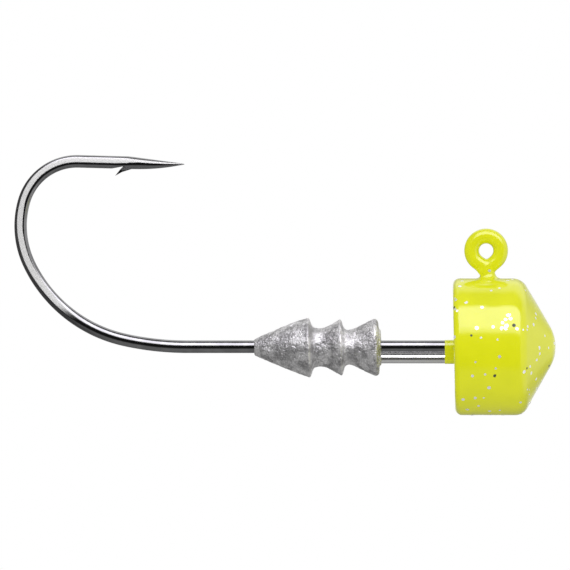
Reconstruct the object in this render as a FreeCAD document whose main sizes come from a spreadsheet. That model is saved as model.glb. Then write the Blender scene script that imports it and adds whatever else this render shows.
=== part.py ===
"""Jig head: a lead head and bait keeper cast round a forged jig hook.

Frame, in millimetres: X runs along the hook's shank towards the nose, Z runs
up through the line tie, and Y runs across.  The origin is on the shank's axis,
in the plane of the head's flat back face, where a soft bait seats.
"""
import FreeCAD
import Part
import math
import os

import Sketcher

DOC = FreeCAD.newDocument("jig_head")

# ---------------------------------------------------------------- driving dimensions

SIZES = [
    # hook wire, and the closed ring of the line tie
    ("wire_diameter", 1.0),
    ("elbow_start", 1.22),          # head's back face to the start of the elbow
    ("elbow_radius", 1.5),
    ("sweep_depth", 0.12),          # head's top down to where the neck sweeps out to the ring
    ("sweep_radius", 1.5),
    ("sweep_angle", 59.9),
    ("ring_radius", 1.15),
    ("ring_gap", 0.11),             # between the wire's cut end and the neck
    # shank, round bend and point
    ("shank_length", 20.98),
    ("lead_bend_radius", 22.86),
    ("lead_bend_angle", 12.6),
    ("lower_bend_radius", 10.91),
    ("lower_bend_angle", 51.7),
    ("rear_bend_radius", 7.03),
    ("rear_bend_angle", 41.9),
    ("upper_bend_radius", 4.33),
    ("upper_bend_angle", 75.3),
    ("point_run", 8.39),            # bend to the tip of the point
    ("point_taper", 4.45),          # whole length of the ground point
    ("point_grind", 2.55),          # length of its last, steeper stretch
    ("point_grind_diameter", 0.71),
    ("forged_thickness", 0.76),     # across the flats pressed into the bend
    ("forged_start", 3.5),          # end of the shank to the front of the flats
    ("forged_height", 13.4),
    # barb, measured from the tip of the point
    ("barb_root", 4.13),
    ("barb_notch", 4.83),
    ("barb_notch_depth", 0.31),
    ("barb_tip", 5.43),
    ("barb_drop", 1.05),
    ("barb_width", 0.6),
    ("barb_cut", 1.3),              # length of wire that the chisel shaves
    # second wire, under the shank
    ("support_diameter", 0.8),
    ("wire_gap", 0.01),
    ("support_in_head", 2.6),
    ("support_in_keeper", 3.9),
    # bait keeper
    ("keeper_setback", 5.89),       # head's back face to the keeper's front face
    ("keeper_boss_diameter", 2.9),
    ("keeper_boss_length", 0.2),
    ("keeper_land", 0.27),          # front face to the first peak
    ("keeper_pitch", 2.6),
    ("front_barb_diameter", 4.52),
    ("middle_barb_diameter", 4.36),
    ("rear_barb_diameter", 4.54),
    ("front_groove_diameter", 2.84),
    ("rear_groove_diameter", 3.0),
    ("front_groove_offset", 0.46),
    ("rear_groove_offset", 1.05),
    ("groove_length", 0.5),
    ("keeper_tail_length", 4.35),
    ("keeper_tail_diameter", 1.2),
    ("keeper_round", 0.08),
    # head
    ("head_diameter", 10.8),
    ("head_barrel", 5.43),
    ("nose_cone_angle", 60.3),      # half angle of the cone
    ("nose_radius", 3.15),
    ("shoulder_radius", 1.2),
    ("back_radius", 0.55),
    # powder coat
    ("coat_thickness", 0.07),
    ("neck_coat", 0.09),
    ("neck_flare_radius", 0.4),
    ("neck_root_depth", 0.8),
    ("sleeve_length", 0.7),
    ("sleeve_coat", 0.03),
    ("line_hole_ream", 0.03),       # taken off the coat where the line passes
    # glitter
    ("flake_width", 0.36),
    ("flake_thickness", 0.03),
    ("flake_proud", 0.006),
    ("flake_margin", 1.0),          # kept clear of flakes along each edge of the barrel and cone
]

sheet = DOC.addObject("Spreadsheet::Sheet", "sizes")
for row, (alias, number) in enumerate(SIZES, start=1):
    sheet.set(f"A{row}", alias)
    sheet.set(f"B{row}", str(number))
    sheet.setAlias(f"B{row}", alias)
DOC.recompute()


class Term:
    """A size and the expression that gives it, so that the two cannot disagree."""

    def __init__(self, value, text=None):
        self.value = float(value)
        self.text = text or repr(self.value)

    def joined(self, sign, other, value):
        return Term(value, f"({self.text} {sign} {other.text})")

    def __add__(self, other):
        other = term(other)
        return self.joined("+", other, self.value + other.value)

    def __sub__(self, other):
        other = term(other)
        return self.joined("-", other, self.value - other.value)

    def __mul__(self, other):
        other = term(other)
        return self.joined("*", other, self.value * other.value)

    def __truediv__(self, other):
        other = term(other)
        return self.joined("/", other, self.value / other.value)

    def __neg__(self):
        return Term(-self.value, f"(0 - {self.text})")


def term(number):
    """A plain number as a Term; a Term is returned as it is."""
    return number if isinstance(number, Term) else Term(number)


def size(alias):
    """The sheet's cell of this name, as a Term."""
    return Term(sheet.get(alias), f"sizes.{alias}")


def sine(angle):
    return Term(math.sin(math.radians(angle.value)), f"sin({angle.text})")


def cosine(angle):
    return Term(math.cos(math.radians(angle.value)), f"cos({angle.text})")


def tangent(angle):
    return Term(math.tan(math.radians(angle.value)), f"tan({angle.text})")


def arc_cosine(ratio):
    return Term(math.degrees(math.acos(ratio.value)), f"(acos({ratio.text}) / 1 deg)")


ZERO = Term(0.0, "0")

# ---------------------------------------------------------------- sketching


def bind(thing, name, value):
    thing.setExpression(name, value.text)


def origin_plane(body, role):
    return next(plane for plane in body.Origin.OriginFeatures if plane.Role == role)


def add_sketch(body, name, role, offset=None):
    """A sketch flat on one of its own body's origin planes, moved within it by offset."""
    sketch = body.newObject("Sketcher::SketchObject", name)
    sketch.AttachmentSupport = [(origin_plane(body, role), "")]
    sketch.MapMode = "FlatFace"
    if offset is not None:
        sketch.AttachmentOffset = offset
    return sketch


def dimension(sketch, kind, *where, value):
    """A dimension bound to the sheet."""
    index = sketch.addConstraint(Sketcher.Constraint(kind, *where, value.value))
    sketch.setExpression(f"Constraints[{index}]", value.text)


def place_point(sketch, edge, end, x, y):
    dimension(sketch, "DistanceX", edge, end, value=x)
    dimension(sketch, "DistanceY", edge, end, value=y)


def arc_through(start, end, radius, side):
    """The short arc from start to end whose centre is to the left (1) or right (-1) of the chord."""
    chord = end - start
    across = FreeCAD.Vector(-chord.y, chord.x, 0).normalize()
    reach = math.sqrt(radius * radius - chord.Length ** 2 / 4)
    centre = (start + end) / 2 + across * (side * reach)
    middle = centre - across * (side * radius)
    return Part.Arc(start, middle, end)


def draw_outline(sketch, points):
    """A closed outline: (x, y) for a straight side to that point, (x, y, radius, side) for an arc."""
    START, END = 1, 2
    spots = [FreeCAD.Vector(p[0].value, p[1].value, 0) for p in points]
    for index, point in enumerate(points):
        start = spots[index - 1]
        if len(point) == 2:
            sketch.addGeometry(Part.LineSegment(start, spots[index]), False)
            continue
        radius, side = point[2:]
        sketch.addGeometry(arc_through(start, spots[index], radius.value, side), False)
    for index, point in enumerate(points):
        following = (index + 1) % len(points)
        is_arc = len(point) == 4
        reversed_arc = is_arc and point[3] < 0
        next_reversed = len(points[following]) == 4 and points[following][3] < 0
        last = START if reversed_arc else END
        first = END if next_reversed else START
        sketch.addConstraint(Sketcher.Constraint("Coincident", index, last, following, first))
        place_point(sketch, index, last, point[0], point[1])
        if is_arc:
            dimension(sketch, "Radius", index, value=point[2])


def draw_circle(sketch, x, y, diameter):
    centre = FreeCAD.Vector(x.value, y.value, 0)
    circle = sketch.addGeometry(Part.Circle(centre, FreeCAD.Vector(0, 0, 1), diameter.value / 2), False)
    place_point(sketch, circle, 3, x, y)
    dimension(sketch, "Diameter", circle, value=diameter)


# ---------------------------------------------------------------- wire centrelines


class Route:
    """A wire's centreline in the XZ plane, as straight runs and tangent arcs."""

    def __init__(self, x, z, heading):
        self.spot = FreeCAD.Vector(x.value, z.value, 0)
        self.heading = heading
        self.start = (x, z)
        self.steps = []

    def along(self, degrees, distance):
        turned = math.radians(degrees)
        return FreeCAD.Vector(math.cos(turned) * distance, math.sin(turned) * distance, 0)

    def run(self, length):
        start = self.spot
        self.spot = start + self.along(self.heading, length.value)
        self.steps.append(("run", start, self.spot, length))
        return self

    def turn(self, radius, angle, side):
        """Turn left (side 1) or right (side -1) through angle."""
        start = self.spot
        centre = start + self.along(self.heading + 90 * side, radius.value)
        middle = centre - self.along(self.heading + side * (90 + angle.value / 2), radius.value)
        self.heading += side * angle.value
        self.spot = centre - self.along(self.heading + 90 * side, radius.value)
        self.centre = centre
        self.steps.append(("turn", start, self.spot, radius, angle, middle, side))
        return self

    def draw(self, sketch):
        """Draw the route with tangent joins, and bind each length, radius and angle."""
        START, END = 1, 2
        previous = None
        for index, step in enumerate(self.steps):
            start, end = step[1:3]
            leaves, arrives = END, START
            if step[0] == "run":
                sketch.addGeometry(Part.LineSegment(start, end), False)
            else:
                sketch.addGeometry(Part.Arc(start, step[5], end), False)
                if step[6] < 0:
                    leaves, arrives = START, END
            if previous is None:
                place_point(sketch, index, arrives, *self.start)
                sketch.addConstraint(Sketcher.Constraint(self.first_direction(), index))
            else:
                sketch.addConstraint(Sketcher.Constraint("Tangent", *previous, index, arrives))
            if step[0] == "run":
                dimension(sketch, "Distance", index, value=step[3])
            else:
                dimension(sketch, "Radius", index, value=step[3])
                spread = Term(math.radians(step[4].value), f"({step[4].text} * 1 deg)")
                dimension(sketch, "Angle", index, value=spread)
            previous = (index, leaves)

    def first_direction(self):
        start, end = self.steps[0][1:3]
        return "Vertical" if abs(end.x - start.x) < 1e-9 else "Horizontal"

    def edges(self):
        return [f"Edge{index + 1}" for index in range(len(self.steps))]


def sweep(body, name, profile, route, path):
    pipe = body.newObject("PartDesign::AdditivePipe", name)
    pipe.Profile = profile
    pipe.Spine = (path, route.edges())
    DOC.recompute()
    return pipe


def revolve(body, name, sketch, axis):
    spun = body.newObject("PartDesign::Revolution", name)
    spun.Profile = sketch
    spun.ReferenceAxis = (sketch, [axis])
    spun.Angle = 360
    DOC.recompute()
    return spun


def eye_route():
    route = Route(ZERO, ZERO, 0)
    route.run(size("elbow_start"))
    route.turn(size("elbow_radius"), Term(90), 1)
    route.run(NECK_TOP - size("elbow_radius"))
    route.turn(size("sweep_radius"), size("sweep_angle"), 1)
    route.turn(size("ring_radius"), Term(360) - ring_opening(), -1)
    return route


def ring_opening():
    """Angle left open in the ring, so that its cut end stops ring_gap short of the neck's sweep."""
    ring = size("ring_radius")
    centres = ring + size("sweep_radius")
    reach = size("sweep_radius") + size("wire_diameter") / 2 + size("ring_gap")
    return arc_cosine((centres * centres + ring * ring - reach * reach) / (centres * ring * 2))


def bend_route():
    route = Route(ZERO, ZERO, 180)
    route.run(size("shank_length"))
    for stretch in ("lead", "lower", "rear", "upper"):
        route.turn(size(f"{stretch}_bend_radius"), size(f"{stretch}_bend_angle"), -1)
    route.run(size("point_run") - size("point_taper"))
    return route


NECK_X = size("elbow_start") + size("elbow_radius")
NECK_TOP = size("head_diameter") / 2 - size("sweep_depth")
RING_CENTRE = eye_route().centre

# ---------------------------------------------------------------- hook


def make_hook():
    """Forged steel hook: ring, neck, elbow, shank, round bend, point and barb in one wire."""
    body = DOC.addObject("PartDesign::Body", "hook")
    section = add_sketch(body, "wire_section", "YZ_Plane")
    draw_circle(section, ZERO, ZERO, size("wire_diameter"))
    for name, route in (("eye", eye_route()), ("bend", bend_route())):
        path = add_sketch(body, f"{name}_path", "XZ_Plane")
        route.draw(path)
        DOC.recompute()
        sweep(body, f"{name}_wire", section, route, path)

    tip = route.spot + route.along(route.heading, size("point_taper").value)
    turned = FreeCAD.Rotation(FreeCAD.Vector(0, 0, 1), route.heading)
    at_tip = FreeCAD.Placement(tip, turned)
    half = size("wire_diameter") / 2
    cone = add_sketch(body, "point_outline", "XZ_Plane", at_tip)
    taper = -size("point_taper")
    draw_outline(cone, [
        (taper, ZERO),
        (taper, half),
        (-size("point_grind"), size("point_grind_diameter") / 2),
        (ZERO, ZERO),
    ])
    revolve(body, "point", cone, "H_Axis")

    notch_apex = (-size("barb_notch"), -size("barb_notch_depth"))
    barb_tip = (-size("barb_tip"), -size("barb_drop"))
    notch = add_sketch(body, "notch_outline", "XZ_Plane", at_tip)
    shaved = -(size("barb_notch") + size("barb_cut"))
    draw_outline(notch, [notch_apex, (shaved, -half), (shaved, -size("barb_drop")), barb_tip])
    cut = body.newObject("PartDesign::Pocket", "barb_notch")
    cut.Profile = notch
    cut.Midplane = True
    cut.Type = 0
    bind(cut, "Length", size("wire_diameter") * 2)
    DOC.recompute()

    sliver = add_sketch(body, "barb_outline", "XZ_Plane", at_tip)
    root = -size("barb_root")
    draw_outline(sliver, [notch_apex, barb_tip, (root, -half), (root, ZERO)])
    barb = body.newObject("PartDesign::Pad", "barb")
    barb.Profile = sliver
    barb.Midplane = True
    bind(barb, "Length", size("barb_width"))
    DOC.recompute()

    side = add_sketch(body, "flat_outline", "XZ_Plane")
    bind(side, "AttachmentOffset.Base.z", size("forged_thickness") / 2)
    front = -(size("shank_length") + size("forged_start"))
    reach = size("rear_bend_radius") + size("lower_bend_radius")
    low = -size("wire_diameter")
    top = size("forged_height")
    draw_outline(side, [(front, low), (front, top), (front - reach, top), (front - reach, low)])
    flat = body.newObject("PartDesign::Pocket", "forged_flat")
    flat.Profile = side
    flat.Reversed = True
    bind(flat, "Length", size("wire_diameter"))
    DOC.recompute()
    both = body.newObject("PartDesign::Mirrored", "forged_flats")
    both.Originals = [flat]
    both.MirrorPlane = (origin_plane(body, "XZ_Plane"), [""])
    body.Tip = both
    DOC.recompute()
    return body


# ---------------------------------------------------------------- support wire


def make_support_wire():
    """Straight steel wire under the shank, cast into the keeper and the head."""
    body = DOC.addObject("PartDesign::Body", "support_wire")
    section = add_sketch(body, "support_section", "YZ_Plane")
    rear = size("keeper_setback") + size("support_in_keeper")
    bind(section, "AttachmentOffset.Base.z", -rear)
    draw_circle(section, ZERO, SUPPORT_Z, size("support_diameter"))
    rod = body.newObject("PartDesign::Pad", "support_rod")
    rod.Profile = section
    bind(rod, "Length", rear + size("support_in_head"))
    DOC.recompute()
    return body


SUPPORT_Z = -(size("wire_diameter") / 2 + size("wire_gap") + size("support_diameter") / 2)

# ---------------------------------------------------------------- bait keeper


def make_keeper_casting():
    """Solid of revolution round the shank: three cone barbs, each wider towards the head."""
    body = DOC.addObject("PartDesign::Body", "keeper_casting")
    outline = add_sketch(body, "keeper_outline", "XZ_Plane")
    face = -size("keeper_setback")
    boss = face + size("keeper_boss_length")
    first = face - size("keeper_land")
    second = first - size("keeper_pitch")
    third = second - size("keeper_pitch")
    front_groove = second + size("front_groove_offset")
    rear_groove = third + size("rear_groove_offset")
    front_radius = size("front_groove_diameter") / 2
    rear_radius = size("rear_groove_diameter") / 2
    points = [
        (boss, ZERO),
        (boss, size("keeper_boss_diameter") / 2),
        (face, size("keeper_boss_diameter") / 2),
        (face, size("front_barb_diameter") / 2 - size("keeper_land")),
        (first, size("front_barb_diameter") / 2),
        (front_groove + size("groove_length"), front_radius),
        (front_groove, front_radius),
        (second, size("middle_barb_diameter") / 2),
        (rear_groove, rear_radius),
        (rear_groove - size("groove_length"), rear_radius),
        (third, size("rear_barb_diameter") / 2),
        (third - size("keeper_tail_length"), size("keeper_tail_diameter") / 2),
        (third - size("keeper_tail_length"), ZERO),
    ]
    draw_outline(outline, points)
    cast = revolve(body, "keeper_turned", outline, "H_Axis")
    peaks = rims(cast.Shape, [first.value, second.value, third.value])
    soften(body, "keeper_rounds", cast, peaks, size("keeper_round"))
    return body


def rims(shape, stations):
    """Names of the full circles round the X axis at these places along it, the widest at each."""
    found = {}
    for index, edge in enumerate(shape.Edges, start=1):
        if edge.Degenerated or not isinstance(edge.Curve, Part.Circle) or len(edge.Vertexes) != 1:
            continue
        for station in stations:
            is_here = abs(edge.Curve.Center.x - station) < 1e-6
            if is_here and edge.Curve.Radius > found.get(station, (0, ""))[0]:
                found[station] = (edge.Curve.Radius, f"Edge{index}")
    return [name for radius, name in found.values()]


def soften(body, name, feature, edges, radius):
    fillet = body.newObject("PartDesign::Fillet", name)
    fillet.Base = (feature, edges)
    bind(fillet, "Radius", radius)
    DOC.recompute()
    return fillet


# ---------------------------------------------------------------- head


def make_head_body(name, inset):
    """Short cylinder with a blunt cone nose; inset moves the whole skin inwards."""
    body = DOC.addObject("PartDesign::Body", name)
    outline = add_sketch(body, f"{name}_outline", "XZ_Plane")
    angle = size("nose_cone_angle")
    radius = size("head_diameter") / 2
    nose_centre = size("head_barrel") + radius / tangent(angle) - size("nose_radius") / sine(angle)
    nose = size("nose_radius") - inset
    corner = size("head_barrel") - inset * tangent(angle / 2)
    draw_outline(outline, [
        (inset, ZERO),
        (inset, radius - inset),
        (corner, radius - inset),
        (nose_centre + nose * sine(angle), nose * cosine(angle)),
        (nose_centre + nose, ZERO, nose, -1),
    ])
    spun = revolve(body, f"{name}_turned", outline, "H_Axis")
    shoulder = soften(body, f"{name}_shoulder", spun, rims(spun.Shape, [corner.value]),
                      size("shoulder_radius") - inset)
    soften(body, f"{name}_back_edge", shoulder, rims(shoulder.Shape, [inset.value]),
           size("back_radius") - inset)
    return body


# ---------------------------------------------------------------- powder coat


def make_coat_body():
    """Outer skin of the painted parts: head, sleeve, neck and ring."""
    body = make_head_body("coat_outside", ZERO)

    sleeve = add_sketch(body, "sleeve_section", "YZ_Plane")
    bind(sleeve, "AttachmentOffset.Base.z", -size("sleeve_length"))
    draw_sleeve(sleeve)
    tube = body.newObject("PartDesign::Pad", "sleeve")
    tube.Profile = sleeve
    bind(tube, "Length", size("sleeve_length") + size("coat_thickness") * 2)
    DOC.recompute()

    root = size("head_diameter") / 2 - size("neck_root_depth")
    section = add_sketch(body, "neck_section", "XY_Plane")
    bind(section, "AttachmentOffset.Base.x", NECK_X)
    bind(section, "AttachmentOffset.Base.z", root)
    wire = size("wire_diameter") / 2
    draw_circle(section, ZERO, ZERO, (wire + size("neck_coat")) * 2)
    route = Route(NECK_X, root, 90)
    route.run(NECK_TOP - root)
    route.turn(size("sweep_radius"), size("sweep_angle"), 1)
    route.run(size("wire_diameter") / 4)
    path = add_sketch(body, "neck_path", "XZ_Plane")
    route.draw(path)
    DOC.recompute()
    sweep(body, "neck", section, route, path)

    ring = body.newObject("PartDesign::AdditiveTorus", "ring")
    ring.AttachmentSupport = [(origin_plane(body, "XZ_Plane"), "")]
    ring.MapMode = "FlatFace"
    ring.AttachmentOffset = FreeCAD.Placement(RING_CENTRE, FreeCAD.Rotation())
    bind(ring, "Radius1", size("ring_radius"))
    bind(ring, "Radius2", wire + size("coat_thickness"))
    DOC.recompute()

    flare = add_sketch(body, "flare_outline", "XZ_Plane")
    bind(flare, "AttachmentOffset.Base.x", NECK_X)
    top = size("head_diameter") / 2
    neck = wire + size("neck_coat")
    fillet = size("neck_flare_radius")
    draw_outline(flare, [
        (ZERO, root),
        (neck + fillet, root),
        (neck + fillet, top),
        (neck, top + fillet, fillet, -1),
        (ZERO, top + fillet),
    ])
    revolve(body, "neck_flare", flare, "V_Axis")

    hole = body.newObject("PartDesign::SubtractiveCylinder", "line_hole")
    hole.AttachmentSupport = [(origin_plane(body, "XZ_Plane"), "")]
    hole.MapMode = "FlatFace"
    hole.AttachmentOffset = FreeCAD.Placement(RING_CENTRE, FreeCAD.Rotation())
    bind(hole, "AttachmentOffset.Base.z", -size("wire_diameter"))
    bind(hole, "Radius", size("ring_radius") - wire - size("coat_thickness") + size("line_hole_ream"))
    bind(hole, "Height", size("wire_diameter") * 2)
    DOC.recompute()
    return body


def draw_sleeve(sketch):
    """Two half rounds, over the shank and under the support wire, joined by straight sides."""
    START, END, CENTRE = 1, 2, 3
    rounds = [
        (ZERO, size("wire_diameter") / 2 + size("sleeve_coat"), 0),
        (SUPPORT_Z, size("support_diameter") / 2 + size("sleeve_coat"), math.pi),
    ]
    for z, radius, turned in rounds:
        centre = FreeCAD.Vector(0, z.value, 0)
        circle = Part.Circle(centre, FreeCAD.Vector(0, 0, 1), radius.value)
        arc = sketch.addGeometry(Part.ArcOfCircle(circle, turned, turned + math.pi), False)
        place_point(sketch, arc, CENTRE, ZERO, z)
        dimension(sketch, "Radius", arc, value=radius)
        dimension(sketch, "DistanceY", arc, START, value=z)
        dimension(sketch, "DistanceY", arc, END, value=z)
    for arc, other in ((0, 1), (1, 0)):
        ends = (sketch.Geometry[arc].EndPoint, sketch.Geometry[other].StartPoint)
        line = sketch.addGeometry(Part.LineSegment(*ends), False)
        sketch.addConstraint(Sketcher.Constraint("Coincident", arc, END, line, START))
        sketch.addConstraint(Sketcher.Constraint("Coincident", other, START, line, END))


# ---------------------------------------------------------------- glitter

FLAKES = 97
DARK_EVERY = 11
GOLDEN_ANGLE = 180 * (3 - math.sqrt(5))


def flake_spots():
    """Even scatter over the barrel and then the cone, as (point on the surface, outward normal)."""
    radius = size("head_diameter").value / 2
    barrel = size("head_barrel").value
    margin = size("flake_margin").value
    slope = math.radians(size("nose_cone_angle").value)
    slant = (radius - size("nose_radius").value * math.cos(slope)) / math.sin(slope)
    on_barrel = barrel - 2 * margin
    on_cone = slant - 2 * margin
    clear_of_neck = neck_clearance()
    for index in range(FLAKES):
        travel = (index + 0.5) / FLAKES * (on_barrel + on_cone)
        around = math.radians(index * GOLDEN_ANGLE)
        if travel < on_barrel:
            x, out = margin + travel, radius
            lean = 0.0
        else:
            along = margin + travel - on_barrel
            x, out = barrel + along * math.cos(slope), radius - along * math.sin(slope)
            lean = math.sin(slope)
        level = math.sqrt(1 - lean * lean)
        spot = FreeCAD.Vector(x, out * math.cos(around), out * math.sin(around))
        normal = FreeCAD.Vector(lean, level * math.cos(around), level * math.sin(around))
        beside_neck = math.hypot(spot.x - NECK_X.value, spot.y)
        if spot.z < 0 or beside_neck > clear_of_neck:
            yield index, spot, normal


def neck_clearance():
    neck = size("wire_diameter") / 2 + size("neck_coat") + size("neck_flare_radius")
    return (neck + size("flake_width")).value


def make_flakes():
    """Hexagonal flakes of metal foil, set flush in the coat, in two colours."""
    groups = {"silver_flakes": [], "dark_flakes": []}
    for index, spot, normal in flake_spots():
        colour = "dark_flakes" if index % DARK_EVERY == 0 else "silver_flakes"
        flake = DOC.addObject("Part::Prism", f"flake_{index}")
        flake.Polygon = 6
        bind(flake, "Circumradius", size("flake_width") / 2)
        bind(flake, "Height", size("flake_thickness"))
        sunk = size("flake_thickness").value - size("flake_proud").value
        upright = FreeCAD.Rotation(FreeCAD.Vector(0, 0, 1), normal)
        flake.Placement = FreeCAD.Placement(spot - normal * sunk, upright)
        groups[colour].append(flake)
    made = []
    for name, flakes in groups.items():
        group = DOC.addObject("Part::Compound", name)
        group.Links = flakes
        made.append(group)
    DOC.recompute()
    return made


# ---------------------------------------------------------------- assembly


def fuse(name, *pieces):
    joined = DOC.addObject("Part::MultiFuse", name)
    joined.Shapes = list(pieces)
    DOC.recompute()
    return joined


def cut(name, base, tool):
    left = DOC.addObject("Part::Cut", name)
    left.Base = base
    left.Tool = tool
    DOC.recompute()
    return left


hook = make_hook()
support_wire = make_support_wire()
wires = fuse("wires", hook, support_wire)
keeper = cut("keeper", make_keeper_casting(), wires)
head_casting = make_head_body("head_casting", size("coat_thickness"))
head_core = cut("head_core", head_casting, wires)
silver_flakes, dark_flakes = make_flakes()
skin = cut("skin", make_coat_body(), fuse("under_the_coat", head_casting, wires))
paint_coat = cut("paint_coat", cut("skin_with_silver", skin, silver_flakes), dark_flakes)

SUB_PARTS = [hook, support_wire, keeper, head_core, paint_coat, silver_flakes, dark_flakes]

for sub_part in SUB_PARTS:
    sub_part.Label = sub_part.Name
for thing in DOC.Objects:
    if "Invalid" in thing.State or "Error" in thing.State:
        raise RuntimeError(f"{thing.Label} did not build: {thing.State}")
for sub_part in SUB_PARTS:
    if sub_part.Shape.isNull() or not sub_part.Shape.isValid() or not sub_part.Shape.Solids:
        raise RuntimeError(f"{sub_part.Label} is not a valid solid")

os.makedirs("parts", exist_ok=True)
for sub_part in SUB_PARTS:
    sub_part.Shape.exportStep(f"parts/{sub_part.Label}.step")
    print(sub_part.Label, len(sub_part.Shape.Solids), "solids", round(sub_part.Shape.Volume, 3), "mm3")
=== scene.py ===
"""A fishing jig head: forged hook, lead bait keeper and head, glitter powder coat."""
import math
import random

import bmesh
import bpy
from mathutils import Matrix, Vector, noise


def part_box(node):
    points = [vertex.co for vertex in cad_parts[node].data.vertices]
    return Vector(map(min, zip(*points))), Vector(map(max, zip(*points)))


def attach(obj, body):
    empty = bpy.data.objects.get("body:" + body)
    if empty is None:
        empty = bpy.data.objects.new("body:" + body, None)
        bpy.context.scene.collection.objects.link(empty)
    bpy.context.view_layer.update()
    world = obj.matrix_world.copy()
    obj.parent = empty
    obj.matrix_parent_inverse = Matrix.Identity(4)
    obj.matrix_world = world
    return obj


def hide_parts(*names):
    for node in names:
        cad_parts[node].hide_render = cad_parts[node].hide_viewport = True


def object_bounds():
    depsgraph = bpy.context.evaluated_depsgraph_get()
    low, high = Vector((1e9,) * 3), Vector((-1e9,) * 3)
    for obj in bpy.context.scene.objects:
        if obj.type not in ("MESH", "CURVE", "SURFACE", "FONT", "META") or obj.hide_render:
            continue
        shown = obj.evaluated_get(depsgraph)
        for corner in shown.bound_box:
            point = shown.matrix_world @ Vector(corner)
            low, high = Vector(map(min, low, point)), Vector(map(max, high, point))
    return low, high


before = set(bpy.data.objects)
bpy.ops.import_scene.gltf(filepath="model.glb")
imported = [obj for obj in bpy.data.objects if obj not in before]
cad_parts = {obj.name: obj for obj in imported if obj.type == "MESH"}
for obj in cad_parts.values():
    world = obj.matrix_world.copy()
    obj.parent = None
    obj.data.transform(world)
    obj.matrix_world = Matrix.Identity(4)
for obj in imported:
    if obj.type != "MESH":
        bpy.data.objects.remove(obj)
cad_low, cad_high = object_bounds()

MM = 0.001

# ---------------------------------------------------------------- hook
# One forged steel wire, ground to a point, with a barb cut up by a chisel and
# the round bend pressed flat on both sides. It is black nickel plated.

WIRE = 0.497 * MM
SHANK_END = -20.98 * MM
BENDS = ((22.86, 12.6), (10.91, 51.7), (7.03, 41.9), (4.33, 75.3))
POINT_RUN = 8.39 * MM
POINT_TAPER = 4.45 * MM
ELBOW_START = 1.22 * MM
ELBOW = 1.5 * MM
NECK_TOP = 5.28 * MM
SWEEP = 1.5 * MM
SWEEP_ANGLE = 59.9
RING = 1.15 * MM
RING_OPENING = 50.3
WIRE_SIDES = 48
BEND_STEP = 0.16
TAPER_DRAWN = 0.995
MERGED = 1e-7
CLOSED_UP = 1e-8


class Tube:
    """A wire drawn out from a ring of edges, in straight runs and bends in the XZ plane."""

    def __init__(self, shape, ring, x, z, heading):
        self.shape = shape
        self.ring = ring
        self.spot = Vector((x, 0, z))
        self.heading = heading

    def ahead(self, degrees=0):
        turned = math.radians(self.heading + degrees)
        return Vector((math.cos(turned), 0, math.sin(turned)))

    def run(self, length, steps=1):
        for _ in range(steps):
            drawn = bmesh.ops.extrude_edge_only(self.shape, edges=self.ring)["geom"]
            points = [item for item in drawn if isinstance(item, bmesh.types.BMVert)]
            self.ring = [item for item in drawn if isinstance(item, bmesh.types.BMEdge)]
            self.ring = [edge for edge in self.ring if all(end in points for end in edge.verts)]
            bmesh.ops.translate(self.shape, verts=points, vec=self.ahead() * (length / steps))
        self.spot += self.ahead() * length
        return self

    def turn(self, radius, degrees, side, steps):
        """Bend to the left (side 1) or right (side -1), seen with X to the right and Z up."""
        centre = self.spot + self.ahead(90 * side) * radius
        spun = bmesh.ops.spin(
            self.shape, geom=self.ring, cent=centre, axis=(0, 1, 0),
            angle=-side * math.radians(degrees), steps=steps, use_duplicate=False)
        self.ring = [item for item in spun["geom_last"] if isinstance(item, bmesh.types.BMEdge)]
        self.heading += side * degrees
        self.spot = centre - self.ahead(90 * side) * radius
        self.centre = centre
        return self

    def close(self):
        """Close the end with a flat face."""
        bmesh.ops.contextual_create(self.shape, geom=self.ring)
        return self


def wire_section(shape, radius, x=0.0, z=0.0, upright=False):
    """A ring of edges round the point (x, z), square to X, or square to Z if upright."""
    turned = Matrix.Identity(4) if upright else Matrix.Rotation(math.pi / 2, 4, "Y")
    place = Matrix.Translation((x, 0, z)) @ turned
    made = bmesh.ops.create_circle(shape, cap_ends=False, segments=WIRE_SIDES, radius=radius,
                                   matrix=place)
    return list({edge for point in made["verts"] for edge in point.link_edges})


def smooth_step(low, high, value):
    """0 up to low, 1 from high, and a soft rise between; low may be the greater."""
    share = min(max((value - low) / (high - low), 0), 1)
    return share * share * (3 - 2 * share)


def finish_mesh(shape, name, sharp=40):
    """Merge, point the faces outwards, mark the sharp edges and hand the mesh to an object."""
    bmesh.ops.remove_doubles(shape, verts=shape.verts, dist=MERGED)
    bmesh.ops.recalc_face_normals(shape, faces=shape.faces)
    for face in shape.faces:
        face.smooth = True
    for edge in shape.edges:
        edge.smooth = edge.calc_face_angle(0) < math.radians(sharp)
    mesh = bpy.data.meshes.new(name)
    shape.to_mesh(mesh)
    shape.free()
    piece = bpy.data.objects.new(name, mesh)
    bpy.context.collection.objects.link(piece)
    return piece


hook_shape = bmesh.new()
section = wire_section(hook_shape, WIRE)
eye = Tube(hook_shape, section, 0, 0, 0)
eye.run(ELBOW_START, 4).turn(ELBOW, 90, 1, 24).run(NECK_TOP - ELBOW, 6)
eye.turn(SWEEP, SWEEP_ANGLE, 1, 20).turn(RING, 360 - RING_OPENING, -1, 90).close()
ring_centre = eye.centre
shank = Tube(hook_shape, section, 0, 0, 180)
shank.run(-SHANK_END, 60)
for bend_radius, bend_angle in BENDS:
    arc_length = math.radians(bend_angle) * bend_radius
    shank.turn(bend_radius * MM, bend_angle, -1, round(arc_length / BEND_STEP))
shank.run(POINT_RUN - POINT_TAPER, 20)
taper_start, point_way = shank.spot.copy(), shank.ahead()
shank.run(POINT_TAPER * TAPER_DRAWN, 36).close()

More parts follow.
